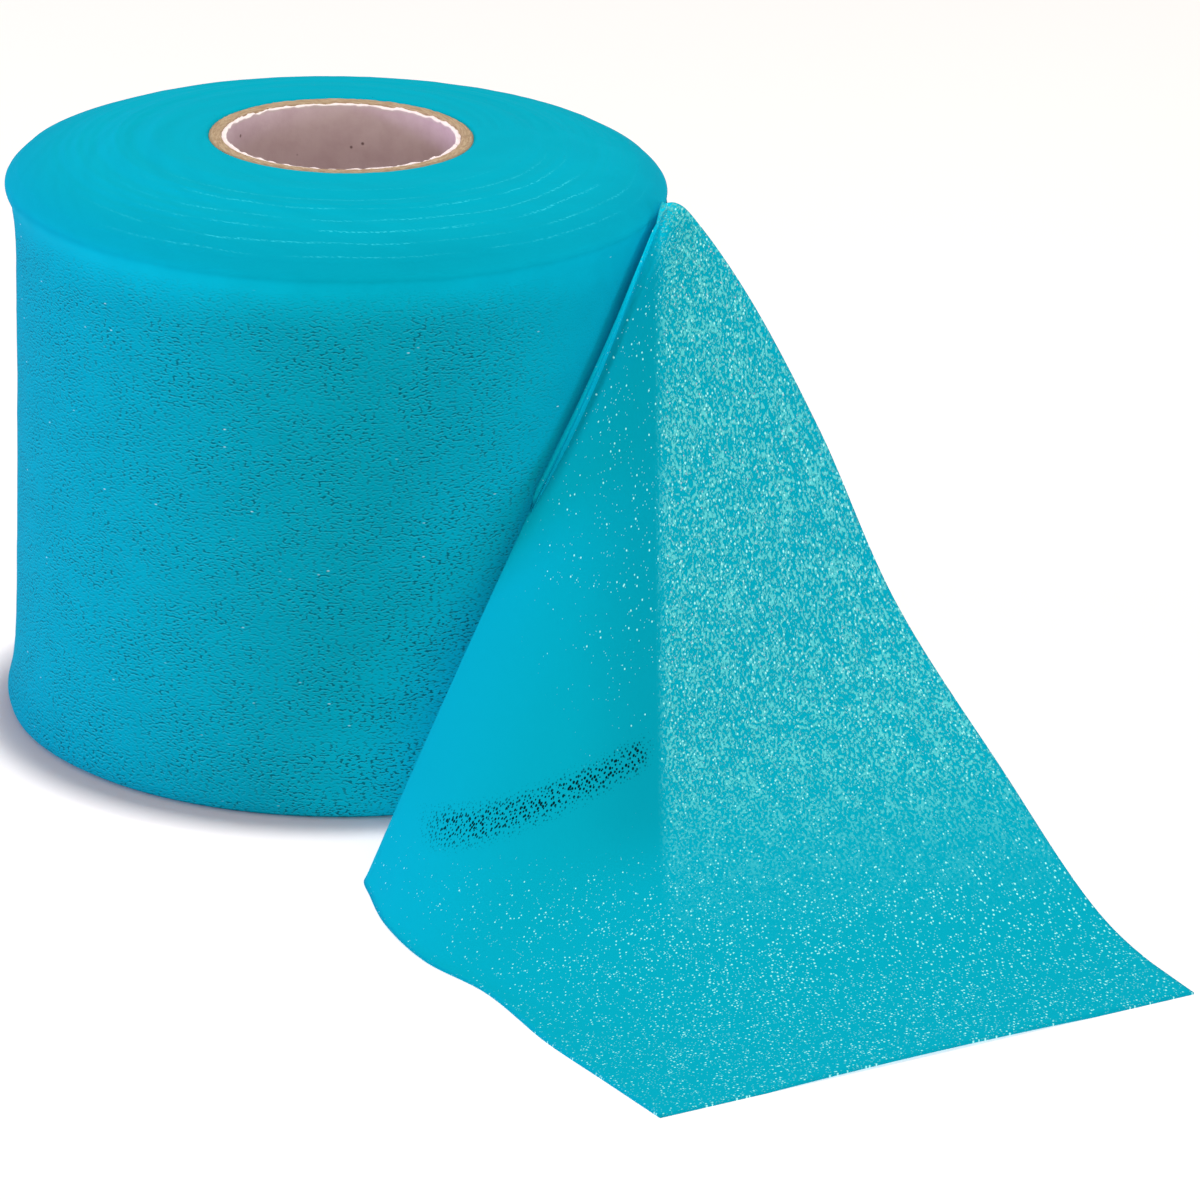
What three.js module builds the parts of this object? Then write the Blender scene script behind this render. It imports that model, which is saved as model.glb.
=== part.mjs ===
// A roll of thin foam underwrap standing on one end. The loose end of the web peels off
// its right-hand side, turns back in a soft slanting fold and runs out flat to a cut end.
// Millimetres, +Z up. The front of the roll looks along -Y.

import * as THREE from "three";
import { mergeVertices } from "three/addons/utils/BufferGeometryUtils.js";

// Driving dimensions: board core
const CORE_LENGTH = 70;
const CORE_OUTER_RADIUS = 15.3;
const LINER_OUTER_RADIUS = 13.85;
const BORE_RADIUS = 13.25;
const LINER_SET_BACK = 0.25;
const RIM_ROUNDING = 0.3;
const RIM_SHARE = 0.3;

// Driving dimensions: wound web
const FIT_GAP = 0.3;
const WEB_THICKNESS = 1;
const TURN_STEP = WEB_THICKNESS + FIT_GAP;
const SEAM_ANGLE = -12;
const SEAM_SINK_SHARE = 0.7;
const DOME_RISE = 2.8;
const DOME_EDGE_RADIUS = 34.4;
const LIP_HEIGHT = 64.4;
const BASE_FLAT_RADIUS = 38;
const TURN_FADE_START = 30;
const TURN_FADE_END = 36.5;
const WINDING_BANDS = 4;
const BAND_RELIEF = 0.18;

// Outer side of the wound web, from the top lip over the slight waist to the bottom lip
const SIDE = [
  { radius: 37.3, height: 66.1 },
  { radius: 38.8, height: LIP_HEIGHT },
  { radius: 38.3, height: 62 },
  { radius: 37.9, height: 58 },
  { radius: 37.8, height: 48 },
  { radius: 37.8, height: 34 },
  { radius: 37.9, height: 20 },
  { radius: 38.1, height: 10 },
  { radius: 38.5, height: 5 },
  { radius: 39.1, height: 1.8 },
  { radius: 38.8, height: 0.5 },
];

// Loose end while it still clings to the roll. Angles run from +X towards the front.
const CLINGING = [
  { lowAngle: -11.4, highAngle: -11.4, highZ: 65.2 },
  { lowAngle: 2, highAngle: -4, highZ: 65.5 },
  { lowAngle: 16, highAngle: 3, highZ: 65.8 },
  { lowAngle: 30, highAngle: 10, highZ: 66.1 },
  { lowAngle: 43, highAngle: 16, highZ: 66.3 },
];

// Loose end off the roll: its low edge on the surface, its high edge, how far the web sags
// midway between them and how far it bows to the right there
const FREE = [
  { lowX: 20.5, lowY: -34, highX: 37.2, highY: -12.5, highZ: 66.4, sag: 0, bow: 0 },
  { lowX: 12.5, lowY: -44, highX: 37.4, highY: -12.9, highZ: 66.4, sag: 0, bow: 0.5 },
  { lowX: 6.3, lowY: -51, highX: 37.9, highY: -13.2, highZ: 66.4, sag: 0, bow: 1.2 },
  { lowX: 3.4, lowY: -55.3, highX: 38.8, highY: -13.7, highZ: 66.1, sag: 0, bow: 1.5 },
  { lowX: 4, lowY: -60.7, highX: 41, highY: -15.7, highZ: 64.2, sag: 0.3, bow: 1.5 },
  { lowX: 5.8, lowY: -68.9, highX: 46.5, highY: -20.5, highZ: 57.2, sag: 1, bow: 1 },
  { lowX: 10, lowY: -78.2, highX: 54.5, highY: -28, highZ: 43.8, sag: 2, bow: 0.5 },
  { lowX: 16.3, lowY: -86, highX: 62.8, highY: -36.8, highZ: 27, sag: 2.5, bow: 0 },
  { lowX: 22.6, lowY: -98.6, highX: 74, highY: -50.7, highZ: 12.6, sag: 2, bow: 0 },
  { lowX: 28.2, lowY: -107.8, highX: 84.1, highY: -67.6, highZ: 2, sag: 0, bow: 0 },
  { lowX: 33.8, lowY: -117, highX: 92.8, highY: -84.7, highZ: 0, sag: -0.8, bow: 0 },
];

// Mesh steps
const ROLL_SEGMENTS = 84;
const TUBE_SEGMENTS = 64;
const DOME_STEPS = 12;
const SIDE_STEPS = 18;
const ROWS_PER_STATION = 4;
const STEPS_ACROSS = 14;

const MERGE_DISTANCE = 1e-3;

const FULL_TURN = 360;
const HALF_THICKNESS = WEB_THICKNESS / 2;

// Meshes

function toRadians(degrees) {
  return (degrees * Math.PI) / 180;
}

function closedGeometry(positions, triangles) {
  const rough = new THREE.BufferGeometry();
  rough.setAttribute("position", new THREE.Float32BufferAttribute(positions, 3));
  rough.setIndex(triangles);
  const merged = mergeVertices(rough, MERGE_DISTANCE);
  const index = Array.from(merged.index.array);
  const kept = [];
  for (let i = 0; i < index.length; i += 3) {
    const [a, b, c] = index.slice(i, i + 3);
    if (a !== b && b !== c && c !== a) kept.push(a, b, c);
  }
  merged.setIndex(kept);
  merged.computeVertexNormals();
  return merged;
}

function namedMesh(name, geometry, material) {
  const mesh = new THREE.Mesh(geometry, material);
  mesh.name = name;
  return mesh;
}

// Core: a square-ended tube with softly rounded rims

function tubeGeometry(innerRadius, outerRadius, bottom, top) {
  const rim = Math.min(RIM_ROUNDING, (outerRadius - innerRadius) * RIM_SHARE);
  const outline = [
    new THREE.Vector2(innerRadius, bottom),
    new THREE.Vector2(outerRadius, bottom),
    new THREE.Vector2(outerRadius, top - rim),
    new THREE.Vector2(outerRadius - rim, top),
    new THREE.Vector2(innerRadius + rim, top),
    new THREE.Vector2(innerRadius, top - rim),
    new THREE.Vector2(innerRadius, bottom),
  ];
  const tube = new THREE.LatheGeometry(outline, TUBE_SEGMENTS);
  tube.rotateX(Math.PI / 2);
  tube.deleteAttribute("uv");
  tube.deleteAttribute("normal");
  return closedGeometry(Array.from(tube.attributes.position.array), Array.from(tube.index.array));
}

// Wound web: its outline from the core out over the dome, down the side and under

function sideCurve() {
  return new THREE.CatmullRomCurve3(
    SIDE.map(({ radius, height }) => new THREE.Vector3(radius, 0, height)),
    false,
    "centripetal",
  );
}

function woundOutline() {
  const inner = CORE_OUTER_RADIUS + FIT_GAP;
  const outline = [{ radius: inner, height: 0 }];
  for (let i = 0; i <= DOME_STEPS; i += 1) {
    const part = i / DOME_STEPS;
    const band = BAND_RELIEF * Math.sin(2 * Math.PI * WINDING_BANDS * part) * Math.sin(Math.PI * part);
    outline.push({
      radius: inner + part * (DOME_EDGE_RADIUS - inner),
      height: CORE_LENGTH - DOME_RISE * part * part + band,
    });
  }
  for (const point of sideCurve().getPoints(SIDE_STEPS)) {
    outline.push({ radius: point.x, height: point.z });
  }
  outline.push({ radius: BASE_FLAT_RADIUS, height: 0 });
  return outline;
}

// The outermost turn grows by one step of the web from the seam round to the seam again,
// so that the loose end's outer face carries on flush from it

function turnGrowth(radius, angle) {
  const turned = (angle - SEAM_ANGLE) / FULL_TURN;
  const fade = THREE.MathUtils.smoothstep(radius, TURN_FADE_START, TURN_FADE_END);
  return TURN_STEP * (turned - SEAM_SINK_SHARE) * fade;
}

function woundWebGeometry() {
  const outline = woundOutline();
  const positions = [];
  const triangles = [];
  for (let column = 0; column <= ROLL_SEGMENTS; column += 1) {
    const angle = SEAM_ANGLE + (FULL_TURN * column) / ROLL_SEGMENTS;
    for (const { radius, height } of outline) {
      const grown = radius + turnGrowth(radius, angle);
      const turn = toRadians(angle);
      positions.push(grown * Math.cos(turn), -grown * Math.sin(turn), height);
    }
  }
  const rows = outline.length;
  const lastColumn = ROLL_SEGMENTS * rows;
  for (let row = 0; row < rows; row += 1) {
    const next = (row + 1) % rows;
    for (let column = 0; column < ROLL_SEGMENTS; column += 1) {
      const here = column * rows;
      const there = here + rows;
      triangles.push(here + row, there + next, here + next, here + row, there + row, there + next);
    }
    triangles.push(lastColumn + row, next, lastColumn + next, lastColumn + row, row, next);
  }
  return closedGeometry(positions, triangles);
}

// Loose end: straight rulings from its low edge to its high edge, kept clear of the roll

function sideRadius(height, angle) {
  const points = SIDE.slice(1);
  const level = THREE.MathUtils.clamp(height, points.at(-2).height, points[0].height);
  const above = points.findIndex((point) => point.height <= level);
  const upper = points[Math.max(above - 1, 0)];
  const lower = points[Math.max(above, 1)];
  const part = (upper.height - level) / (upper.height - lower.height);
  const radius = THREE.MathUtils.lerp(upper.radius, lower.radius, part);
  return radius + turnGrowth(radius, angle);
}

function clearOfRoll(point) {
  const radius = Math.hypot(point.x, point.y);
  const angle = THREE.MathUtils.radToDeg(Math.atan2(-point.y, point.x));
  const least = sideRadius(point.z, angle) + FIT_GAP + HALF_THICKNESS;
  if (radius < least) {
    point.x *= least / radius;
    point.y *= least / radius;
  }
  return point;
}

function onRoll(angle, height) {
  const turn = toRadians(angle);
  return clearOfRoll(new THREE.Vector3(Math.cos(turn), -Math.sin(turn), height));
}

function looseStations() {
  const clinging = CLINGING.map(({ lowAngle, highAngle, highZ }) => ({
    low: onRoll(lowAngle, 0),
    high: onRoll(highAngle, highZ),
    give: new THREE.Vector3(0, 0, 0),
  }));
  const free = FREE.map(({ lowX, lowY, highX, highY, highZ, sag, bow }) => ({
    low: new THREE.Vector3(lowX, lowY, 0),
    high: new THREE.Vector3(highX, highY, highZ),
    give: new THREE.Vector3(bow, 0, -sag),
  }));
  return [...clinging, ...free];
}

function midwayShare(across) {
  return 4 * across * (1 - across);
}

function looseMiddleSheet() {
  const stations = looseStations();
  const lowEdge = new THREE.CatmullRomCurve3(stations.map(({ low }) => low), false, "centripetal");
  const highEdge = new THREE.CatmullRomCurve3(stations.map(({ high }) => high), false, "centripetal");
  const rowCount = (stations.length - 1) * ROWS_PER_STATION;
  const rows = [];
  for (let i = 0; i <= rowCount; i += 1) {
    const along = i / rowCount;
    const station = Math.min(Math.floor(i / ROWS_PER_STATION), stations.length - 2);
    const between = i / ROWS_PER_STATION - station;
    const give = stations[station].give.clone().lerp(stations[station + 1].give, between);
    const low = lowEdge.getPoint(along);
    const high = highEdge.getPoint(along);
    const row = [];
    for (let j = 0; j <= STEPS_ACROSS; j += 1) {
      const across = j / STEPS_ACROSS;
      const point = low.clone().lerp(high, across);
      point.addScaledVector(give, midwayShare(across));
      point.z = Math.max(point.z, 0);
      row.push(clearOfRoll(point));
    }
    rows.push(row);
  }
  return rows;
}

function sheetNormal(rows, i, j) {
  const alongFrom = rows[Math.max(i - 1, 0)][j];
  const alongTo = rows[Math.min(i + 1, rows.length - 1)][j];
  const acrossFrom = rows[i][Math.max(j - 1, 0)];
  const acrossTo = rows[i][Math.min(j + 1, STEPS_ACROSS)];
  const along = alongTo.clone().sub(alongFrom);
  const across = acrossTo.clone().sub(acrossFrom);
  return across.cross(along).normalize();
}

function looseEndGeometry() {
  const rows = looseMiddleSheet();
  const columns = STEPS_ACROSS + 1;
  const positions = [];
  for (const side of [1, -1]) {
    for (let i = 0; i < rows.length; i += 1) {
      for (let j = 0; j < columns; j += 1) {
        const normal = sheetNormal(rows, i, j);
        const point = rows[i][j].clone();
        point.z = Math.max(point.z, HALF_THICKNESS * Math.abs(normal.z));
        point.addScaledVector(normal, side * HALF_THICKNESS);
        positions.push(point.x, point.y, Math.max(point.z, 0));
      }
    }
  }
  const back = rows.length * columns;
  const triangles = [];
  const quad = (a, b, c, d) => triangles.push(a, b, c, a, c, d);
  for (let i = 0; i + 1 < rows.length; i += 1) {
    const here = i * columns;
    const there = here + columns;
    for (let j = 0; j < STEPS_ACROSS; j += 1) {
      quad(here + j, here + j + 1, there + j + 1, there + j);
      quad(back + here + j, back + there + j, back + there + j + 1, back + here + j + 1);
    }
    quad(here, there, back + there, back + here);
    quad(there + STEPS_ACROSS, here + STEPS_ACROSS, back + here + STEPS_ACROSS, back + there + STEPS_ACROSS);
  }
  const last = (rows.length - 1) * columns;
  for (let j = 0; j < STEPS_ACROSS; j += 1) {
    quad(j + 1, j, back + j, back + j + 1);
    quad(last + j, last + j + 1, back + last + j + 1, back + last + j);
  }
  return closedGeometry(positions, triangles);
}

// Materials

const kraftBoard = new THREE.MeshStandardMaterial({ color: 0xb9a587, roughness: 0.85, metalness: 0 });
const linerPaper = new THREE.MeshStandardMaterial({ color: 0xa5979b, roughness: 0.8, metalness: 0 });
const foam = new THREE.MeshStandardMaterial({ color: 0x00a5c4, roughness: 0.9, metalness: 0 });
const looseFoam = new THREE.MeshStandardMaterial({ color: 0x05b0cc, roughness: 0.9, metalness: 0 });

// Assembly, shifted so that the origin is the middle of the bounding box's bottom

const coreTube = tubeGeometry(LINER_OUTER_RADIUS + FIT_GAP, CORE_OUTER_RADIUS, 0, CORE_LENGTH);
const linerTop = CORE_LENGTH - LINER_SET_BACK;
const coreLiner = tubeGeometry(BORE_RADIUS, LINER_OUTER_RADIUS, LINER_SET_BACK, linerTop);

const group = new THREE.Group();
group.add(
  namedMesh("core_tube", coreTube, kraftBoard),
  namedMesh("core_liner", coreLiner, linerPaper),
  namedMesh("foam_roll", woundWebGeometry(), foam),
  namedMesh("foam_tail", looseEndGeometry(), looseFoam),
);
const box = new THREE.Box3().setFromObject(group);
const middle = box.getCenter(new THREE.Vector3());
group.position.set(-middle.x, -middle.y, -box.min.z);
group.updateMatrixWorld(true);

export default group;
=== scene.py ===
import math

import bpy
from mathutils import Matrix, Vector, noise

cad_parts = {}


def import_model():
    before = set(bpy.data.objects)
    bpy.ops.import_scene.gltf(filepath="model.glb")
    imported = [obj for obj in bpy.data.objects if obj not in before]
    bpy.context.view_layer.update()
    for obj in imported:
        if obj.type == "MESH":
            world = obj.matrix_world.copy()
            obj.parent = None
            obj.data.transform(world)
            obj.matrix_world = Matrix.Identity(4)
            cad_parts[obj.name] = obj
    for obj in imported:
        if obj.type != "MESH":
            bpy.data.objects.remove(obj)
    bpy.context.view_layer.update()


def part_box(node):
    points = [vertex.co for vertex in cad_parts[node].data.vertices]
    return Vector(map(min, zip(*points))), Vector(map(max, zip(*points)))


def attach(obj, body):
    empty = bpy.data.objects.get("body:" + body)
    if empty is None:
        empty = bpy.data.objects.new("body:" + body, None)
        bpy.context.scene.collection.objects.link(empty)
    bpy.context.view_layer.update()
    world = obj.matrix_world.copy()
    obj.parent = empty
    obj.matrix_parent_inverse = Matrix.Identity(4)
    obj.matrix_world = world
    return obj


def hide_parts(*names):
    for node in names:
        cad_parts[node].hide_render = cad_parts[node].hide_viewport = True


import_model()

# A roll of thin foam underwrap standing on one end, with its loose end peeled off to the right.
# Shapes are given in millimetres from the roll's own axis, x to the right, y away from the
# front and z up, and are put in place in metres by placed().

CORE_LOW, CORE_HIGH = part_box("core_tube")
AXIS_X = (CORE_LOW.x + CORE_HIGH.x) / 2
AXIS_Y = (CORE_LOW.y + CORE_HIGH.y) / 2
MM = 0.001
FULL_TURN = 2 * math.pi

# Board core
CORE_LENGTH = 70.0
BOARD_OUTER = 15.3
BOARD_INNER = 13.87
RIM_ROUNDING = 0.3
RIM_DROP = 0.5 * RIM_ROUNDING
BOARD_ROUGHNESS = 0.07
ROUGH_DEPTH = 2.0
ROUGH_SINK = 0.08
FIBRE_WIDTH = 0.55
FIBRE_SHIFT = 3
FINE_FIBRE_WIDTH = 0.25
FINE_FIBRE_SHARE = 0.6
BOARD_PLIES = 3
PLY_SHARE = 0.4
FRAY_RELIEF = 0.05
FRAY_WIDTH = 0.4
CORE_SEGMENTS = 256
BOARD_FACE_ROWS = 14
WALL_ROWS = 24

# Paper lining of the core, with the drops of its rows below its torn top edge
LINER_OUTER = 13.85
LINER_INNER = 13.25
LINER_SET_BACK = 0.25
LINER_ROUNDING = 0.1
LINER_CROWN = 0.05
LINER_TOP_BAND = 1.0
LINER_INNER_DROPS = (0.75, 0.5, 0.3, 0.15, 0.05)
LINER_OUTER_DROPS = (0.05, 0.5, 1.0)
TORN_DEPTH = 1.2
TORN_HEIGHT = 0.22
RAG_WIDTH = 1.3
FINE_RAG_WIDTH = 0.45
FINE_RAG_SHARE = 0.7
RAG_SINK = 0.15
RAG_LEAN = 0.07
RAG_LEAN_WIDTH = 0.9

# Wound foam
WOUND_INNER = 15.36
TURN_STEP = 1.3
SEAM_ANGLE = -12.0
SEAM_SINK_SHARE = 0.7
DOME_RISE = 2.8
DOME_EDGE = 34.4
BASE_FLAT = 38.0
TURN_FADE_START = 35.2
TURN_FADE_END = 37.4
EVEN_FROM = 61.5
EVEN_ABOVE = 64.0
WINDING_BANDS = 4
BAND_RELIEF = 0.10
TURN_PITCH = 1.45
TURN_DRIFT = 0.35
TURN_DRIFT_WIDTH = 2.6
TURN_DRIFT_LAYER = (3.0, 7.0)
BORE_GAP = 1.0
BORE_EDGE_WIDTH = 0.5
BORE_EDGE_DROP = 0.25
BORE_ROWS = 12
WOUND_SEGMENTS = 320
DOME_ROWS = 104
SIDE_ROWS = 84
UNDERSIDE_ROWS = 64

# Relief of the wound foam: its depth, the stretch on which it grows, and its bumps' widths
TURN_RELIEF = 0.075
TURN_RELIEF_GROWS = (17.0, 27.0)
TURN_RELIEF_SHARE = 0.6
TURN_PATCH_WIDTH = 9.0
DIMPLE_SHARE = 0.5
DIMPLE_WIDTH = 2.2
SIDE_RELIEF = 0.06
SIDE_RELIEF_GROWS = (0.4, 4.0)
SWELL_WIDTH = 7.0
SWELL_SQUEEZE = 1.6
FINE_SWELL_WIDTH = 2.4
FINE_SWELL_SQUEEZE = 2
FINE_SWELL_SHARE = 0.5
UNDERSIDE_RELIEF = 0.16
UNDERSIDE_FULL = 18.0
UNDERSIDE_FADE = 35.0

# Outer side of the wound foam (radius, height), from the top lip over the waist to the bottom lip
SIDE = [
    (37.3, 66.1),
    (38.8, 64.4),
    (38.3, 62.0),
    (37.9, 58.0),
    (37.8, 48.0),
    (37.8, 34.0),
    (37.9, 20.0),
    (38.1, 10.0),
    (38.5, 5.0),
    (39.1, 1.8),
    (38.8, 0.5),
]

# Loose end while it clings to the roll (low edge's angle, high edge's angle, high edge's height)
CLINGING = [
    (-11.4, -11.4, 62.6),
    (2.0, -6.0, 62.7),
    (16.0, 0.0, 62.9),
    (30.0, 5.0, 63.2),
    (43.0, 9.0, 63.9),
]

# Loose end off the roll (low edge x and y, high edge x, y and z, sag and bow midway)
FREE = [
    (20.5, -34.0, 37.5, -9.4, 65.2, 0.0, 0.0),
    (12.5, -44.0, 37.2, -10.9, 65.6, 0.0, 0.0),
    (6.3, -51.0, 36.9, -12.2, 65.9, 0.0, -0.4),
    (3.4, -55.3, 38.4, -12.0, 66.0, 0.0, -0.6),
    (4.0, -60.7, 41.0, -15.2, 64.3, 0.3, 0.6),
    (5.8, -68.9, 46.8, -20.5, 57.2, 1.0, 1.0),
    (10.0, -78.2, 54.9, -28.0, 43.8, 2.0, 0.5),
    (16.3, -86.0, 63.3, -36.8, 27.0, 2.5, 0.0),
    (22.6, -98.6, 74.6, -50.7, 12.6, 2.0, 0.0),
    (28.2, -107.8, 84.6, -67.6, 2.0, 0.0, 0.0),
    (33.8, -117.0, 92.8, -84.7, 0.0, -0.8, 0.0),
]
SHEET_HALF = 0.5
SHEET_GAP = 0.3
WEB_HALF = 0.12
THIN_HALF = 0.05
THIN_EDGE = 1.2
FOLD_STATION = 5.0
FOLD_LIFT = 0.6
FOLD_LIFT_STATIONS = 3.0
LYING_SHIFT = 0.38
PRESSED_SHIFT = -0.55
PRESSED_UP_TO = 5.0
LYING_FROM = 8.0
ROWS_PER_STATION = 14
SHEET_COLUMNS = 84
SHEET_WIDTH = 70.0


# Numbers and points


def blend(low, high, share):
    return low + (high - low) * share


def smooth(value, low, high):
    share = min(max((value - low) / (high - low), 0.0), 1.0)
    return share * share * (3 - 2 * share)


def ripple(spot, layer, size):
    """Smooth noise from -1 to 1 over x and y, in bumps about size wide. Layers differ."""
    return noise.noise(Vector((spot.x, spot.y, layer)) / size)


def placed(point):
    return (AXIS_X + point[0] * MM, AXIS_Y + point[1] * MM, point[2] * MM)


def around(radius, angle, height):
    """A point by its angle in radians, from the right towards the front."""
    return Vector((radius * math.cos(angle), -radius * math.sin(angle), height))


def curve_point(points, share):
    """A point on the centripetal Catmull-Rom curve through the points, share from 0 to 1."""
    last = len(points) - 1
    first = min(int(share * last), last - 1)
    part = share * last - first
    p1, p2 = points[first], points[first + 1]
    p0 = points[first - 1] if first > 0 else 2 * p1 - p2
    p3 = points[first + 2] if first + 2 <= last else 2 * p2 - p1
    step = (p2 - p1).length ** 0.5
    before = (p1 - p0).length ** 0.5
    after = (p3 - p2).length ** 0.5
    start = ((p1 - p0) / before - (p2 - p0) / (before + step) + (p2 - p1) / step) * step
    end = ((p2 - p1) / step - (p3 - p1) / (step + after) + (p3 - p2) / after) * step
    square = part * part
    cube = square * part
    return (
        p1 * (2 * cube - 3 * square + 1)
        + start * (cube - 2 * square + part)
        + p2 * (3 * square - 2 * cube)
        + end * (cube - square)
    )


# Meshes


def note(mesh, name, vectors):
    """Keeps a vector with each point of the mesh, for its material to read."""
    kept = mesh.attributes.new(name, "FLOAT_VECTOR", "POINT")
    kept.data.foreach_set("vector", [number for vector in vectors for number in vector])


def piece(name, points, faces, web, material):
    """A smooth mesh. web holds each point's own place on the material, in millimetres."""
    mesh = bpy.data.meshes.new(name)
    mesh.from_pydata([placed(point) for point in points], [], faces)
    note(mesh, "web", web)
    note(mesh, "place", points)
    mesh.materials.append(material)
    mesh.validate()
    mesh.shade_smooth()
    made = bpy.data.objects.new(name, mesh)
    bpy.context.scene.collection.objects.link(made)
    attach(made, "root")
    return made


def ring_mesh(outline, segments, shape):
    """Turns a closed outline of (radius, height) round the axis. shape moves each point."""
    points, web, faces = [], [], []
    rows = len(outline)
    for column in range(segments):
        angle = FULL_TURN * column / segments
        for radius, height in outline:
            points.append(shape(radius, angle, height))
            web.append((angle * radius, height, radius))
    for column in range(segments):
        here = column * rows
        there = (column + 1) % segments * rows
        for row in range(rows):
            after = (row + 1) % rows
            faces.append((here + row, there + row, there + after, here + after))
    return points, faces, web


# Core


def board_outline():
    outline = [(BOARD_INNER, 0.0)]
    for step in range(1, WALL_ROWS):
        outline.append((BOARD_INNER, (CORE_LENGTH - RIM_ROUNDING) * step / WALL_ROWS))
    for step in range(BOARD_FACE_ROWS + 1):
        share = step / BOARD_FACE_ROWS
        edge = min(share, 1 - share) * (BOARD_OUTER - BOARD_INNER)
        drop = RIM_DROP * (1 - smooth(edge, 0.0, RIM_ROUNDING))
        outline.append((blend(BOARD_INNER, BOARD_OUTER, share), CORE_LENGTH - drop))
    for step in range(1, WALL_ROWS):
        outline.append((BOARD_OUTER, (CORE_LENGTH - RIM_ROUNDING) * (1 - step / WALL_ROWS)))
    for step in range(BOARD_FACE_ROWS):
        outline.append((blend(BOARD_OUTER, BOARD_INNER, step / BOARD_FACE_ROWS), 0.0))
    return outline


def board_point(radius, angle, height):
    """The board's cut top end is rough with fibres and plies, and its outer edge is frayed."""
    spot = around(radius, angle, height)
    fibre = ripple(spot, layer=radius * FIBRE_SHIFT, size=FIBRE_WIDTH)
    fibre += FINE_FIBRE_SHARE * ripple(spot, layer=9.0, size=FINE_FIBRE_WIDTH)
    across = (radius - BOARD_INNER) / (BOARD_OUTER - BOARD_INNER)
    ply = math.sin(FULL_TURN * BOARD_PLIES * across)
    share = smooth(height, CORE_LENGTH - ROUGH_DEPTH, CORE_LENGTH - RIM_ROUNDING)
    height += share * (BOARD_ROUGHNESS * (fibre + PLY_SHARE * ply) - ROUGH_SINK)
    if math.isclose(radius, BOARD_OUTER):
        radius += share * FRAY_RELIEF * ripple(spot, layer=3.0, size=FRAY_WIDTH)
    return around(radius, angle, height)


def liner_outline():
    top = CORE_LENGTH - LINER_SET_BACK
    outline = []
    for step in range(WALL_ROWS + 1):
        height = blend(LINER_SET_BACK, top - LINER_TOP_BAND, step / WALL_ROWS)
        outline.append((LINER_INNER, height))
    for drop in LINER_INNER_DROPS:
        outline.append((LINER_INNER, top - drop))
    outline.append((LINER_INNER + LINER_ROUNDING, top))
    outline.append(((LINER_INNER + LINER_OUTER) / 2, top + LINER_CROWN))
    outline.append((LINER_OUTER - LINER_ROUNDING, top))
    for drop in LINER_OUTER_DROPS:
        outline.append((LINER_OUTER, top - drop))
    outline.append((LINER_OUTER, LINER_SET_BACK))
    return outline


def liner_point(radius, angle, height):
    """The paper's top edge is torn: it stands up and leans out by small ragged amounts."""
    near_top = smooth(height, CORE_LENGTH - TORN_DEPTH, CORE_LENGTH - LINER_SET_BACK)
    spot = around(radius, angle, height)
    rag = ripple(spot, layer=0.0, size=RAG_WIDTH)
    rag += FINE_RAG_SHARE * ripple(spot, layer=5.0, size=FINE_RAG_WIDTH)
    height += near_top * TORN_HEIGHT * (rag - RAG_SINK)
    radius += near_top * RAG_LEAN * ripple(spot, layer=11.0, size=RAG_LEAN_WIDTH)
    return around(radius, angle, height)


def board(material):
    points, faces, web = ring_mesh(board_outline(), CORE_SEGMENTS, board_point)
    made = piece("core_board", points, faces, web, material)
    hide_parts("core_tube")
    return made


def liner(material):
    points, faces, web = ring_mesh(liner_outline(), CORE_SEGMENTS, liner_point)
    made = piece("core_lining", points, faces, web, material)
    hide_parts("core_liner")
    return made


# Wound foam


def wound_outline():
    """Outline of (radius, height, kind) from the bore over the top, down the side and under."""
    outline = []
    for step in range(BORE_ROWS + 1):
        height = blend(0.0, CORE_LENGTH - BORE_GAP, step / BORE_ROWS)
        outline.append((WOUND_INNER, height, "bore"))
    for step in range(DOME_ROWS + 1):
        share = step / DOME_ROWS
        band = math.sin(FULL_TURN * WINDING_BANDS * share) * math.sin(math.pi * share)
        height = CORE_LENGTH - DOME_RISE * share * share + BAND_RELIEF * band
        outline.append((blend(WOUND_INNER, DOME_EDGE, share), height, "top"))
    corners = [Vector((radius, 0.0, height)) for radius, height in SIDE]
    for step in range(SIDE_ROWS + 1):
        point = curve_point(corners, step / SIDE_ROWS)
        outline.append((point.x, point.z, "side"))
    for step in range(UNDERSIDE_ROWS):
        radius = blend(BASE_FLAT, WOUND_INNER, step / UNDERSIDE_ROWS)
        outline.append((radius, 0.0, "under"))
    return outline


def turn_growth(radius, degrees, height):
    """How far the outermost turn has grown by this angle. Its end steps down below the top lip."""
    stepped = (degrees - SEAM_ANGLE) / 360.0 - SEAM_SINK_SHARE
    even = -SEAM_SINK_SHARE * (0.5 + 0.5 * math.cos(math.radians(degrees)))
    growth = blend(stepped, even, smooth(height, EVEN_FROM, EVEN_ABOVE))
    return TURN_STEP * growth * smooth(radius, TURN_FADE_START, TURN_FADE_END)


def turn_ridge(radius, turned):
    """Height of the rounded edge of one turn of foam, with each turn a little uneven."""
    drift = TURN_DRIFT * noise.noise(Vector((radius / TURN_DRIFT_WIDTH, *TURN_DRIFT_LAYER)))
    phase = radius / TURN_PITCH - turned + drift
    return 0.5 - 0.5 * math.cos(FULL_TURN * phase)


def top_relief(spot, radius, ridge):
    """How far the top stands up: ridges in uneven patches, dimples, and a soft edge at the bore."""
    patch = TURN_RELIEF_SHARE * (1 + ripple(spot, layer=2.0, size=TURN_PATCH_WIDTH))
    ridges = patch * smooth(radius, *TURN_RELIEF_GROWS) * (ridge - 0.5)
    dimples = DIMPLE_SHARE * ripple(spot, layer=0.0, size=DIMPLE_WIDTH)
    start = smooth(radius, WOUND_INNER, WOUND_INNER + BORE_EDGE_WIDTH)
    return TURN_RELIEF * (ridges + dimples) - BORE_EDGE_DROP * (1 - start)


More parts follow.
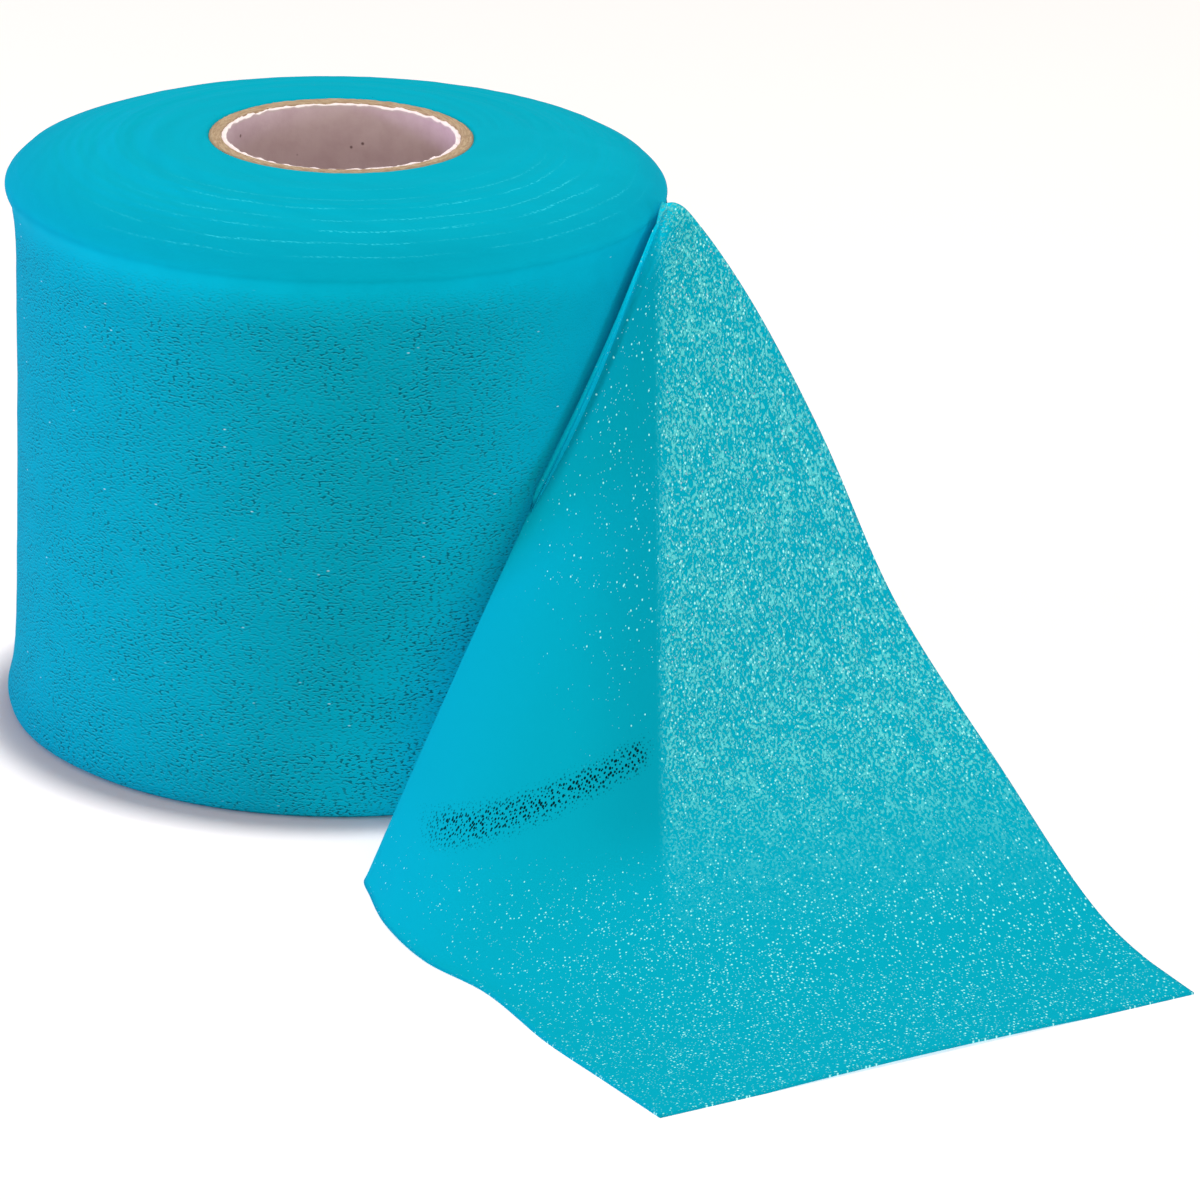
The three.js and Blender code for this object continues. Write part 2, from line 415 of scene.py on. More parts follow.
def side_relief(spot):
    """How far the side swells out, in soft bumps that are wider than they are high."""
    swell = ripple(spot, layer=spot.z * SWELL_SQUEEZE, size=SWELL_WIDTH)
    swell += FINE_SWELL_SHARE * ripple(spot, spot.z * FINE_SWELL_SQUEEZE, FINE_SWELL_WIDTH)
    return SIDE_RELIEF * smooth(spot.z, *SIDE_RELIEF_GROWS) * swell


def underside_relief(radius, ridge):
    """How far the turns' edges draw up from the surface, but for the flat ring it stands on."""
    share = smooth(radius, WOUND_INNER, UNDERSIDE_FULL)
    return UNDERSIDE_RELIEF * ridge * share * (1 - smooth(radius, UNDERSIDE_FADE, BASE_FLAT))


def wound_point(radius, height, kind, turned):
    degrees = SEAM_ANGLE + 360.0 * turned
    angle = math.radians(degrees)
    spot = around(radius, angle, height)
    ridge = turn_ridge(radius, turned)
    if kind == "top":
        height += top_relief(spot, radius, ridge)
    if kind == "side":
        radius += side_relief(spot)
    if kind == "under":
        height += underside_relief(radius, ridge)
    return around(radius + turn_growth(radius, degrees, height), angle, height)


def wound_foam(material):
    outline = wound_outline()
    rows = len(outline)
    points, web, faces = [], [], []
    for column in range(WOUND_SEGMENTS + 1):
        turned = column / WOUND_SEGMENTS
        for radius, height, kind in outline:
            points.append(wound_point(radius, height, kind, turned))
            web.append((turned * FULL_TURN * radius, height, radius))
    for row in range(rows):
        after = (row + 1) % rows
        for column in range(WOUND_SEGMENTS):
            here = column * rows
            there = here + rows
            faces.append((here + row, there + row, there + after, here + after))
        last = WOUND_SEGMENTS * rows
        faces.append((last + row, row, after, last + after))
    made = piece("wound_foam", points, faces, web, material)
    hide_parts("foam_roll")
    return made


# Loose end


def side_radius(height, degrees):
    level = min(max(height, SIDE[-2][1]), SIDE[0][1])
    lower = next(i for i in range(1, len(SIDE)) if SIDE[i][1] <= level)
    (wide, high), (narrow, low) = SIDE[lower - 1], SIDE[lower]
    radius = blend(wide, narrow, (high - level) / (high - low))
    return radius + turn_growth(radius, degrees, level)


def roll_clearance(point):
    """The point's own radius, and the least one at which the sheet clears the roll there."""
    radius = math.hypot(point.x, point.y)
    degrees = math.degrees(math.atan2(-point.y, point.x))
    return radius, side_radius(point.z, degrees) + SHEET_GAP + SHEET_HALF


def clear_of_roll(point):
    """Moves a point that is in the roll straight out of it."""
    radius, least = roll_clearance(point)
    if radius >= least:
        return point
    scale = least / radius
    return Vector((point.x * scale, point.y * scale, point.z))


def clear_in_front(point, lift):
    """Moves a point that is within lift of the roll forwards, so that the fold looks straight."""
    radius, least = roll_clearance(point)
    least += lift
    if radius >= least:
        return point
    forwards = math.sqrt(max(least * least - point.x * point.x, 0.0))
    return Vector((point.x, -forwards, point.z))


def loose_stations():
    """Low edge, high edge and how the web gives midway between them, station by station."""
    stations = []
    for low_angle, high_angle, high_z in CLINGING:
        low = clear_of_roll(around(1.0, math.radians(low_angle), 0.0))
        high = clear_of_roll(around(1.0, math.radians(high_angle), high_z))
        stations.append((low, high, Vector((0.0, 0.0, 0.0))))
    for low_x, low_y, high_x, high_y, high_z, sag, bow in FREE:
        low = Vector((low_x, low_y, 0.0))
        high = Vector((high_x, high_y, high_z))
        stations.append((low, high, Vector((bow, 0.0, -sag))))
    return stations


def loose_rows():
    """The sheet's middle surface as rows of points from its low edge to its high edge."""
    low_edge, high_edge, gives = zip(*loose_stations())
    count = (len(gives) - 1) * ROWS_PER_STATION
    rows = []
    for step in range(count + 1):
        along = step / count
        first = min(step // ROWS_PER_STATION, len(gives) - 2)
        station = step / ROWS_PER_STATION
        give = gives[first].lerp(gives[first + 1], station - first)
        turned = smooth(station, FOLD_STATION - 1.0, FOLD_STATION)
        lift = FOLD_LIFT * smooth(station, FOLD_STATION, FOLD_STATION + FOLD_LIFT_STATIONS)
        low = curve_point(low_edge, along)
        high = curve_point(high_edge, along)
        row = []
        for column in range(SHEET_COLUMNS + 1):
            across = column / SHEET_COLUMNS
            point = low.lerp(high, across) + give * (4 * across * (1 - across))
            point.z = max(point.z, 0.0)
            row.append(clear_of_roll(point).lerp(clear_in_front(point, lift), turned))
        rows.append(row)
    return rows


def sheet_normal(rows, i, j):
    along = rows[min(i + 1, len(rows) - 1)][j] - rows[max(i - 1, 0)][j]
    across = rows[i][min(j + 1, SHEET_COLUMNS)] - rows[i][max(j - 1, 0)]
    return across.cross(along).normalized()


def web_place(i, j):
    """How far the web's middle is shifted outwards, and half its thickness, at row i, column j."""
    station = i / ROWS_PER_STATION
    pressed = smooth(station, 0.0, 1.0) * (1 - smooth(station, PRESSED_UP_TO, LYING_FROM))
    edge = (SHEET_COLUMNS - j) * SHEET_WIDTH / SHEET_COLUMNS
    thinned = pressed * (1 - smooth(edge, 0.0, THIN_EDGE))
    return blend(LYING_SHIFT, PRESSED_SHIFT, pressed), blend(WEB_HALF, THIN_HALF, thinned)


def loose_face(rows, side):
    """One face of the web: side is 1 for its outer face and -1 for its inner one."""
    points = []
    for i, row in enumerate(rows):
        for j, middle in enumerate(row):
            normal = sheet_normal(rows, i, j)
            shift, half = web_place(i, j)
            point = middle.copy()
            point.z = max(point.z, SHEET_HALF * abs(normal.z))
            point += normal * (shift + side * half)
            point.z = max(point.z, 0.0)
            points.append(point)
    return points


def loose_web(rows):
    """Each point's place on the flat web, along it and across it, and its height."""
    middle = SHEET_COLUMNS // 2
    web, along = [], 0.0
    for i, row in enumerate(rows):
        if i:
            along += (row[middle] - rows[i - 1][middle]).length
        for j, point in enumerate(row):
            web.append((along, SHEET_WIDTH * j / SHEET_COLUMNS, point.z))
    return web


def loose_faces(row_count):
    """Outer face, inner face and the four edges between them."""
    columns = SHEET_COLUMNS + 1
    back = row_count * columns
    faces = []
    for i in range(row_count - 1):
        here, there = i * columns, (i + 1) * columns
        for j in range(SHEET_COLUMNS):
            faces.append((here + j, here + j + 1, there + j + 1, there + j))
            under, beyond = back + here + j, back + there + j
            faces.append((under, beyond, beyond + 1, under + 1))
        faces.append((here, there, back + there, back + here))
        low, high = here + SHEET_COLUMNS, there + SHEET_COLUMNS
        faces.append((high, low, back + low, back + high))
    last = (row_count - 1) * columns
    for j in range(SHEET_COLUMNS):
        faces.append((j + 1, j, back + j, back + j + 1))
        faces.append((last + j, last + j + 1, back + last + j + 1, back + last + j))
    return faces


def loose_end(material):
    rows = loose_rows()
    points = loose_face(rows, 1) + loose_face(rows, -1)
    web = loose_web(rows)
    made = piece("loose_end", points, loose_faces(len(rows)), web + web, material)
    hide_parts("foam_tail")
    return made


# Materials


class Graph:
    """The nodes of one material, each made with its inputs in one call."""

    def __init__(self, name):
        self.material = bpy.data.materials.new(name)
        self.material.use_nodes = True
        self.tree = self.material.node_tree
        self.shader = self.tree.nodes["Principled BSDF"]

    def feed(self, node, socket, value):
        if isinstance(value, bpy.types.NodeSocket):
            self.tree.links.new(value, node.inputs[socket])
        else:
            node.inputs[socket].default_value = value

    def finish(self, **values):
        for socket, value in values.items():
            self.feed(self.shader, socket.replace("_", " "), value)
        return self.material

    def kept(self, name):
        """The vector that the mesh keeps with its points under this name."""
        node = self.tree.nodes.new("ShaderNodeAttribute")
        node.attribute_name = name
        return node.outputs["Vector"]

    def parts(self, vector):
        node = self.tree.nodes.new("ShaderNodeSeparateXYZ")
        self.feed(node, "Vector", vector)
        return node.outputs["X"], node.outputs["Y"], node.outputs["Z"]

    def point(self, x, y, z=0.0):
        """A place on a pattern. In a flat pattern, another z gives other shapes."""
        node = self.tree.nodes.new("ShaderNodeCombineXYZ")
        self.feed(node, "X", x)
        self.feed(node, "Y", y)
        self.feed(node, "Z", z)
        return node.outputs["Vector"]

    def sized(self, vector, size):
        """The vector in units of size, which has a number of millimetres for each direction."""
        node = self.tree.nodes.new("ShaderNodeVectorMath")
        node.operation = "MULTIPLY"
        self.feed(node, 0, vector)
        node.inputs[1].default_value = tuple(1 / number for number in size)
        return node.outputs["Vector"]

    def math(self, operation, a, b=0.0):
        node = self.tree.nodes.new("ShaderNodeMath")
        node.operation = operation
        self.feed(node, 0, a)
        self.feed(node, 1, b)
        return node.outputs["Value"]

    def times(self, first, *others):
        product = first
        for other in others:
            product = self.math("MULTIPLY", product, other)
        return product

    def plus(self, a, b):
        return self.math("ADD", a, b)

    def minus(self, a, b):
        return self.math("SUBTRACT", a, b)

    def over(self, a, b):
        return self.math("DIVIDE", a, b)

    def steps(self, value, low, high, start=0.0, end=1.0):
        """Runs smoothly from start at low to end at high."""
        node = self.tree.nodes.new("ShaderNodeMapRange")
        node.interpolation_type = "SMOOTHSTEP"
        self.feed(node, "Value", value)
        node.inputs["From Min"].default_value = low
        node.inputs["From Max"].default_value = high
        node.inputs["To Min"].default_value = start
        node.inputs["To Max"].default_value = end
        return node.outputs["Result"]

    def noise(self, vector, detail=2.0, roughness=0.5):
        node = self.tree.nodes.new("ShaderNodeTexNoise")
        self.feed(node, "Vector", vector)
        node.inputs["Scale"].default_value = 1.0
        node.inputs["Detail"].default_value = detail
        node.inputs["Roughness"].default_value = roughness
        return node.outputs["Fac"]

    def cells(self, vector, flat=True):
        """Distance from the middle of the nearest cell, and that cell's own random number."""
        node = self.tree.nodes.new("ShaderNodeTexVoronoi")
        node.voronoi_dimensions = "2D" if flat else "3D"
        self.feed(node, "Vector", vector)
        node.inputs["Scale"].default_value = 1.0
        return node.outputs["Distance"], self.parts(node.outputs["Color"])[0]

    def mix(self, share, first, second):
        node = self.tree.nodes.new("ShaderNodeMix")
        node.data_type = "RGBA"
        self.feed(node, 0, share)
        self.feed(node, 6, first)
        self.feed(node, 7, second)
        return node.outputs[2]

    def bump(self, height, distance):
        """distance is in millimetres."""
        node = self.tree.nodes.new("ShaderNodeBump")
        self.feed(node, "Height", height)
        node.inputs["Distance"].default_value = distance * MM
        return node.outputs["Normal"]


# Patterns are sized in millimetres: one number for each direction, and the last is 1 where the
# pattern is flat. A range gives the value at which steps() starts and the one at which it ends,
# then what it gives at the two, which is 0 and 1 where the range doesn't say.

FOAM_BASE = (0.0, 0.385, 0.51, 1.0)
FOAM_UNDER_LIP_LIGHT = (0.0, 0.475, 0.62, 1.0)
FOAM_DEEP = (0.0, 0.20, 0.28, 1.0)
FOAM_CREASE_SHADE = (0.0, 0.13, 0.18, 1.0)
FOAM_PALE = (0.03, 0.60, 0.72, 1.0)
FOAM_GLINT = (0.45, 0.85, 0.86, 1.0)
FOAM_LIT = (0.0, 0.58, 0.75, 1.0)
FOAM_ROUGHNESS = 0.95
FOAM_GLOSS = 0.03

# Tone of the foam, with its painted light and painted shade, by height, by angle round the roll in
# radians, and by distance from the fold
MOTTLE_SIZE = (5.0, 4.0, 5.0)
MOTTLE_SHARE = (0.35, 0.7, 0.0, 0.08)
LIP_LIGHT_STARTS = (57.5, 63.4)
LIP_LIGHT_ENDS = (65.2, 63.6)
LIP_LIGHT_ANGLE = (3.1, 2.2)
FOLD_SLOPE = 0.42
FOAM_LIGHT_REACH = (80.0, 60.0)
FOAM_LIGHT_HEIGHT = (50.0, 12.0, 0.3, 1.0)
FOAM_LIGHT_ENDS = (65.5, 60.0)
RIM_SHADE_STARTS = (63.6, 65.6)
RIM_SHADE_ENDS = (68.6, 66.4)
RIM_SHADE_SHARE = 0.2


def foam_tone(graph, web, arc, height, turned):
    """Foam colour, mottled, with painted light under the lip and beside the loose end, and painted
    shade on the top's rim.
    """
    # Painted light: the side just under the top lip is painted lighter.
    under_lip_light = graph.times(
        graph.steps(height, *LIP_LIGHT_STARTS),
        graph.steps(height, *LIP_LIGHT_ENDS),
        graph.steps(turned, *LIP_LIGHT_ANGLE),
    )
    # Painted light: the roll beside the loose end's fold is painted lighter, where the web shades it.
    beside_fold_light = graph.times(
        graph.steps(graph.plus(arc, graph.times(height, FOLD_SLOPE)), *FOAM_LIGHT_REACH),
        graph.steps(height, *FOAM_LIGHT_HEIGHT),
        graph.steps(height, *FOAM_LIGHT_ENDS),
    )
    # Painted shade: the top is painted darker near its outer rim.
    rim = graph.times(
        graph.steps(height, *RIM_SHADE_ENDS),
        graph.steps(height, *RIM_SHADE_STARTS),
        RIM_SHADE_SHARE,
    )
    mottle = graph.noise(graph.sized(web, MOTTLE_SIZE), detail=3.0)
    colour = graph.mix(under_lip_light, FOAM_BASE, FOAM_UNDER_LIP_LIGHT)
    colour = graph.mix(beside_fold_light, colour, FOAM_LIT)
    colour = graph.mix(rim, colour, FOAM_DEEP)
    return graph.mix(graph.steps(mottle, *MOTTLE_SHARE), colour, FOAM_DEEP)


# Wrinkles of the foam's side, by height and by arc round the roll, with painted shade in their
# creases and a painted highlight on their lips
WRINKLE_LENGTH = 0.5
WRINKLE_HEIGHT = 0.23
WRINKLE_DRIFT_LENGTH = 2.0
LIP_OFFSET = 0.5
CREASE_SHADE_SHARE = (0.52, 0.64, 0.0, 0.9)
LIP_HIGHLIGHT_SHARE = (0.50, 0.64, 0.0, 0.55)
WRINKLE_PATCH_SIZE = (6.0, 4.0, 1.0)
WRINKLE_PATCHES = (0.3, 0.6, 0.5, 1.0)
WRINKLES_BELOW = (64.0, 57.0)
WRINKLES_PAST = (36.0, 52.0, 0.1, 1.0)


def side_wrinkles(graph, arc, height):
    """Short level creases, half a millimetre long: how deep they are, and where their lower lips get
    a painted highlight.
    """
    drift = graph.noise(graph.point(graph.over(arc, WRINKLE_DRIFT_LENGTH), height), detail=0.0)
    level = graph.plus(graph.over(height, WRINKLE_HEIGHT), drift)
    run = graph.over(arc, WRINKLE_LENGTH)
    crease = graph.noise(graph.point(run, level), detail=1.0)
    above = graph.noise(graph.point(run, graph.plus(level, LIP_OFFSET)), detail=1.0)
    return crease, above


def wrinkled_share(graph, arc, height):
    """Where the side is wrinkled: not on the shoulder, and less beside the loose end."""
    patch = graph.noise(graph.sized(graph.point(arc, height), WRINKLE_PATCH_SIZE))
    return graph.times(
        graph.steps(height, *WRINKLES_BELOW),
        graph.steps(patch, *WRINKLE_PATCHES),
        graph.steps(arc, *WRINKLES_PAST),
    )


# Pale broken lines on the roll's end, by radius and by angle round the roll in radians
RING_HALF_PITCH = 1.25
RING_WIDTH = (0.22, 0.06)
RING_WANDER = 1.6
RING_WANDER_SIZE = (14.0, 6.0, 1.0)
RING_WANDER_LAYER = 2.0
RING_CHOICE_SIZE = (2.5, 1.0, 1.0)
RING_CHOICE_LAYER = 4.0
RING_CHOICE = (0.38, 0.58)
RING_FLECK_SIZE = (0.4, 0.22, 1.0)
RING_FLECKS = (0.47, 0.58)
RING_RUN_SIZE = (9.0, 3.0, 1.0)
RING_RUN_LAYER = 5.0
RING_RUNS = (0.36, 0.56)
RINGS_START_ANGLE = (0.3, 0.8)
RINGS_END_ANGLE = (2.9, 2.2)
RINGS_START_RADIUS = (20.0, 26.0)
RINGS_END_RADIUS = (37.5, 36.0)


def broken_rings(graph, arc, radius):
    """Thin pale broken lines along the edges of a few turns, on one part of the roll's end."""
    wander_place = graph.point(arc, radius, RING_WANDER_LAYER)
    wander = graph.noise(graph.sized(wander_place, RING_WANDER_SIZE))
    turn = graph.plus(radius, graph.times(wander, RING_WANDER))
    near = graph.math("PINGPONG", turn, RING_HALF_PITCH)
    choice_place = graph.point(turn, 0.0, RING_CHOICE_LAYER)
    choice = graph.noise(graph.sized(choice_place, RING_CHOICE_SIZE), detail=1.0)
    line = graph.times(graph.steps(near, *RING_WIDTH), graph.steps(choice, *RING_CHOICE))
    flecks = graph.noise(graph.sized(graph.point(arc, radius), RING_FLECK_SIZE), detail=1.0)
    run_place = graph.point(arc, radius, RING_RUN_LAYER)
    runs = graph.noise(graph.sized(run_place, RING_RUN_SIZE), detail=1.0)
    breaks = graph.times(graph.steps(flecks, *RING_FLECKS), graph.steps(runs, *RING_RUNS))
    angle = graph.over(arc, radius)
    shown = graph.times(
        graph.steps(angle, *RINGS_START_ANGLE),
        graph.steps(angle, *RINGS_END_ANGLE),
    )
    zone = graph.times(
        graph.steps(radius, *RINGS_START_RADIUS),
        graph.steps(radius, *RINGS_END_RADIUS),
    )
    return graph.times(zone, shown, graph.times(line, breaks))


# Rare bright specks on the side, which are painted glints, and the pores of the foam
GLINT_SIZE = (1.1, 0.4, 1.0)
GLINT_WIDTH = (0.20, 0.08)
GLINT_CHANCE = (0.995, 0.999)
GLINTS_BELOW = (64.0, 62.0)
PORE_SIZE = (0.22, 0.18, 0.22)
PORE_SHARE = 0.15
FOAM_BUMP = 0.16


def glints(graph, arc, height):
    near, chance = graph.cells(graph.sized(graph.point(arc, height), GLINT_SIZE))
    return graph.times(
        graph.steps(near, *GLINT_WIDTH),
        graph.steps(chance, *GLINT_CHANCE),
        graph.steps(height, *GLINTS_BELOW),
    )


def foam_relief(graph, web, crease, share):
    pores = graph.noise(graph.sized(web, PORE_SIZE))
    relief = graph.plus(graph.times(crease, graph.times(share, -1.0)), graph.times(pores, PORE_SHARE))
    return graph.bump(relief, FOAM_BUMP)


def foam_material():
    graph = Graph("foam")
    web = graph.kept("web")
    arc, height, radius = graph.parts(web)
    crease, above = side_wrinkles(graph, arc, height)
    share = wrinkled_share(graph, arc, height)
    # Painted highlight on the creases' lower lips, and painted shade in the creases.
    lip = graph.times(graph.steps(above, *LIP_HIGHLIGHT_SHARE), share)
    dark = graph.times(graph.steps(crease, *CREASE_SHADE_SHARE), share)
    turned = graph.over(arc, radius)
    colour = graph.mix(lip, foam_tone(graph, web, arc, height, turned), FOAM_PALE)
    colour = graph.mix(dark, colour, FOAM_CREASE_SHADE)
    colour = graph.mix(broken_rings(graph, arc, radius), colour, FOAM_PALE)
    # Painted glints: rare bright specks on the side.
    colour = graph.mix(glints(graph, arc, height), colour, FOAM_GLINT)
    return graph.finish(
        Base_Color=colour,
        Roughness=FOAM_ROUGHNESS,
        Specular_IOR_Level=FOAM_GLOSS,
        Normal=foam_relief(graph, web, crease, share),
    )


SHEER_BASE = (0.0, 0.375, 0.49, 1.0)
SHEER_ROLL_SHADE = (0.0, 0.32, 0.42, 1.0)
SHEER_FOLD_LIGHT = (0.0, 0.58, 0.74, 1.0)
SHEER_CELL_LIGHT = (0.09, 0.63, 0.65, 1.0)
SHEER_PALE_LIGHT = (0.36, 0.95, 0.90, 1.0)
SHEER_GAP_SHADOW = (0.0, 0.015, 0.02, 1.0)
SHADOW_LOSS = 0.85
ROLL_EDGE_X = 36.2

# Where the web hangs clear: past the roll's edge by x, off the roll by its place along the web,
# and off the surface by height
CLEAR_OF_EDGE = (ROLL_EDGE_X - 0.6, ROLL_EDGE_X + 1.2)
OFF_ROLL = (36.0, 44.0)
HANGING = (2.0, 16.0)

# Net of drawn out cells, and the cells torn open
NET_SIZE = (0.38, 0.38, 1.0)
NET_ROUGHNESS = 0.6
NET_PATCH_SIZE = (2.2, 2.2, 1.0)
NET_PATCH_SHARE = 0.3
NET_THIN = (0.49, 0.57)
NET_OPEN = 0.12
NET_BUMP = 0.05
TORN_SIZE = (0.44, 0.44, 1.0)
TORN_WIDTH = (0.36, 0.15)
TORN_CHANCE = (0.86, 0.98)
TORN_OPEN = 0.6


def net_cells(graph, flat, drawn):
    """Cells that are drawn out thin where the web hangs clear, and the few that are torn open."""
    fine = graph.noise(graph.sized(flat, NET_SIZE), roughness=NET_ROUGHNESS)
    uneven = graph.noise(graph.sized(flat, NET_PATCH_SIZE))
    thin = graph.plus(fine, graph.times(graph.minus(uneven, 0.5), NET_PATCH_SHARE))
    cell = graph.times(graph.steps(thin, *NET_THIN), drawn)
    near, chance = graph.cells(graph.sized(flat, TORN_SIZE))
    torn = graph.times(graph.steps(near, *TORN_WIDTH), graph.steps(chance, *TORN_CHANCE))
    return cell, graph.times(torn, drawn)


# Pale specks, painted light: glints over the roll, and the bright floor seen through the web where it
# lies and where it hangs clear: how wide and how many, over the roll, lying on the surface, and
# hanging clear
DOT_SIZE = 0.5
FINE_DOT_SIZE = 0.3
FINE_DOT_COUNT = 1.3
FINE_DOT_SHARE = 0.45
DOT_LEAST_REACH = (0.0, 0.05, 0.0, 0.22)
DOT_SPREAD = 0.35
DOT_EDGE = (0.0, 0.12)
DOTS_OVER_ROLL = (16.0, 34.0, 0.015, 0.09)
DOTS_OVER_ROLL_HEIGHT = (10.0, 32.0, 0.25, 1.0)
DOTS_LYING = (11.0, 3.0, 0.0, 0.22)
DOTS_LYING_X = (5.0, 45.0, 0.2, 1.0)
DOTS_HANGING = 0.14


def specks(graph, flat, size, share):
    """Round specks of uneven width, in about this share of cells size millimetres wide."""
    near, chance = graph.cells(graph.sized(flat, (size, size, 1.0)))
    rank = graph.minus(graph.plus(chance, share), 1.0)
    reach = graph.plus(graph.steps(rank, *DOT_LEAST_REACH), graph.times(rank, DOT_SPREAD))
    return graph.steps(graph.minus(reach, near), *DOT_EDGE)


def pale_light_dots(graph, flat, x, height, off_roll, drawn):
    """Painted light: few pale specks over the roll, more where the web hangs clear, and most where it
    lies flat.
    """
    over_roll = graph.times(
        graph.steps(x, *DOTS_OVER_ROLL),
        graph.steps(height, *DOTS_OVER_ROLL_HEIGHT),
    )
    lying = graph.times(graph.steps(height, *DOTS_LYING), graph.steps(x, *DOTS_LYING_X))
    share = graph.times(graph.math("MAXIMUM", over_roll, lying), off_roll)
    share = graph.plus(share, graph.times(drawn, DOTS_HANGING))
    dot = specks(graph, flat, DOT_SIZE, share)
    fine = specks(graph, flat, FINE_DOT_SIZE, graph.times(share, FINE_DOT_COUNT))
    return graph.math("MAXIMUM", dot, graph.times(fine, FINE_DOT_SHARE))


# Painted shadow: dark cells where the shade of the gap at the roll's foot shows through the web: a
# slanting band, its ends by x, and its cells
FOOT_SLOPE = 0.35
FOOT_LEVEL = 4.2
GAP_HALF = (2.6, 0.4)
GAP_STARTS = (7.0, 13.0)
GAP_ENDS = (36.5, 33.5)
GAP_CELL_SIZE = (0.46, 0.46, 1.0)
GAP_LEAST_REACH = 0.14
GAP_SPREAD = 0.30
GAP_EDGE = (-0.04, 0.06)


def foot_shadow_dots(graph, flat, x, height, off_roll):
    """Painted shadow: dark cells in a band where the web passes over the shaded gap at the roll's
    foot.
    """
    level = graph.minus(height, graph.times(x, FOOT_SLOPE))
    off = graph.math("ABSOLUTE", graph.minus(level, FOOT_LEVEL))
    ends = graph.times(graph.steps(x, *GAP_STARTS), graph.steps(x, *GAP_ENDS))
    band = graph.times(graph.steps(off, *GAP_HALF), graph.times(ends, off_roll))
    near, chance = graph.cells(graph.sized(flat, GAP_CELL_SIZE))
    reach = graph.times(band, graph.plus(graph.times(chance, GAP_SPREAD), GAP_LEAST_REACH))
    return graph.times(graph.steps(graph.minus(reach, near), *GAP_EDGE), band)


# Darker strip before the roll's edge, painted shade for the shaded side of the roll behind the web,
# by x and height, and paler strip beside the fold, painted light where the web lies double, by its
# place along the web and its height
ROLL_SHADE_STARTS = (25.0, 35.0, 0.3, 1.0)
ROLL_SHADE_ENDS = (37.0, 35.6)
ROLL_SHADE_ABOVE = (5.0, 12.0)
FOLD_LIGHT_STARTS = (39.0, 43.0)
FOLD_LIGHT_ENDS = (49.0, 46.0)
FOLD_LIGHT_ABOVE = (25.0, 45.0)


def roll_shade_strip(graph, x, height, off_roll):
    """Painted shade: where the shaded side of the roll, close behind the web, makes it look darker.
    """
    return graph.times(
        graph.steps(x, *ROLL_SHADE_STARTS),
        graph.steps(x, *ROLL_SHADE_ENDS),
        graph.steps(height, *ROLL_SHADE_ABOVE),
        off_roll,
    )


def fold_light_strip(graph, along, height):
    """Where the web lies double beside the fold, which is painted paler as painted light."""
    return graph.times(
        graph.steps(along, *FOLD_LIGHT_STARTS),
        graph.steps(along, *FOLD_LIGHT_ENDS),
        graph.steps(height, *FOLD_LIGHT_ABOVE),
    )


def sheer_alpha(graph, cell, torn):
    """How solid the web is: a little light gets through its cells, and its shadow is faint."""
    open_share = graph.math("MAXIMUM", graph.times(cell, NET_OPEN), graph.times(torn, TORN_OPEN))
    in_shadow = graph.tree.nodes.new("ShaderNodeLightPath").outputs["Is Shadow Ray"]
    solid = graph.minus(1.0, graph.times(in_shadow, SHADOW_LOSS))
    return graph.times(graph.minus(1.0, open_share), solid)


def sheer_material():
    """Thin open foam. Where it hangs clear of the roll its cells are drawn out, let a little light
    by, and are painted paler as painted light.
    """
    graph = Graph("sheer_foam")
    along, across, height = graph.parts(graph.kept("web"))
    x = graph.parts(graph.kept("place"))[0]
    flat = graph.point(along, across)
    off_roll = graph.steps(along, *OFF_ROLL)
    drawn = graph.times(graph.steps(x, *CLEAR_OF_EDGE), off_roll, graph.steps(height, *HANGING))
    cell, torn = net_cells(graph, flat, drawn)
    dots = pale_light_dots(graph, flat, x, height, off_roll, drawn)
    colour = graph.mix(roll_shade_strip(graph, x, height, off_roll), SHEER_BASE, SHEER_ROLL_SHADE)
    # Painted light: the strip of web beside the fold is painted paler.
    colour = graph.mix(fold_light_strip(graph, along, height), colour, SHEER_FOLD_LIGHT)
    # Painted light: the drawn-out cells are painted paler, for the bright floor seen through them.
    colour = graph.mix(cell, colour, SHEER_CELL_LIGHT)
    colour = graph.mix(dots, colour, SHEER_PALE_LIGHT)
    colour = graph.mix(foot_shadow_dots(graph, flat, x, height, off_roll), colour, SHEER_GAP_SHADOW)
    return graph.finish(
        Base_Color=colour,
        Alpha=sheer_alpha(graph, cell, torn),
        Roughness=FOAM_ROUGHNESS,
        Specular_IOR_Level=FOAM_GLOSS,
        Normal=graph.bump(cell, NET_BUMP),
    )


BOARD_TAN = (0.35, 0.255, 0.155, 1.0)
BOARD_LIGHT = (0.52, 0.42, 0.27, 1.0)
BOARD_DARK = (0.24, 0.15, 0.08, 1.0)
BOARD_SURFACE_ROUGHNESS = 0.9
BOARD_GLOSS = 0.2
BOARD_BUMP = 0.12
FIBRE_SIZE = (0.9, 0.3, 0.22)
FIBRE_ROUGHNESS = 0.65
FIBRE_LIGHT = (0.35, 0.7)
FIBRE_AT_RIM = (0.4, 0.6)
PLY_SIZE = (0.16, 9.0, 1.0)
PLY_DARK = (0.58, 0.8, 0.0, 0.5)
BOARD_RIM = (BOARD_OUTER - 0.22, BOARD_OUTER - 0.02, 0.0, 0.55)


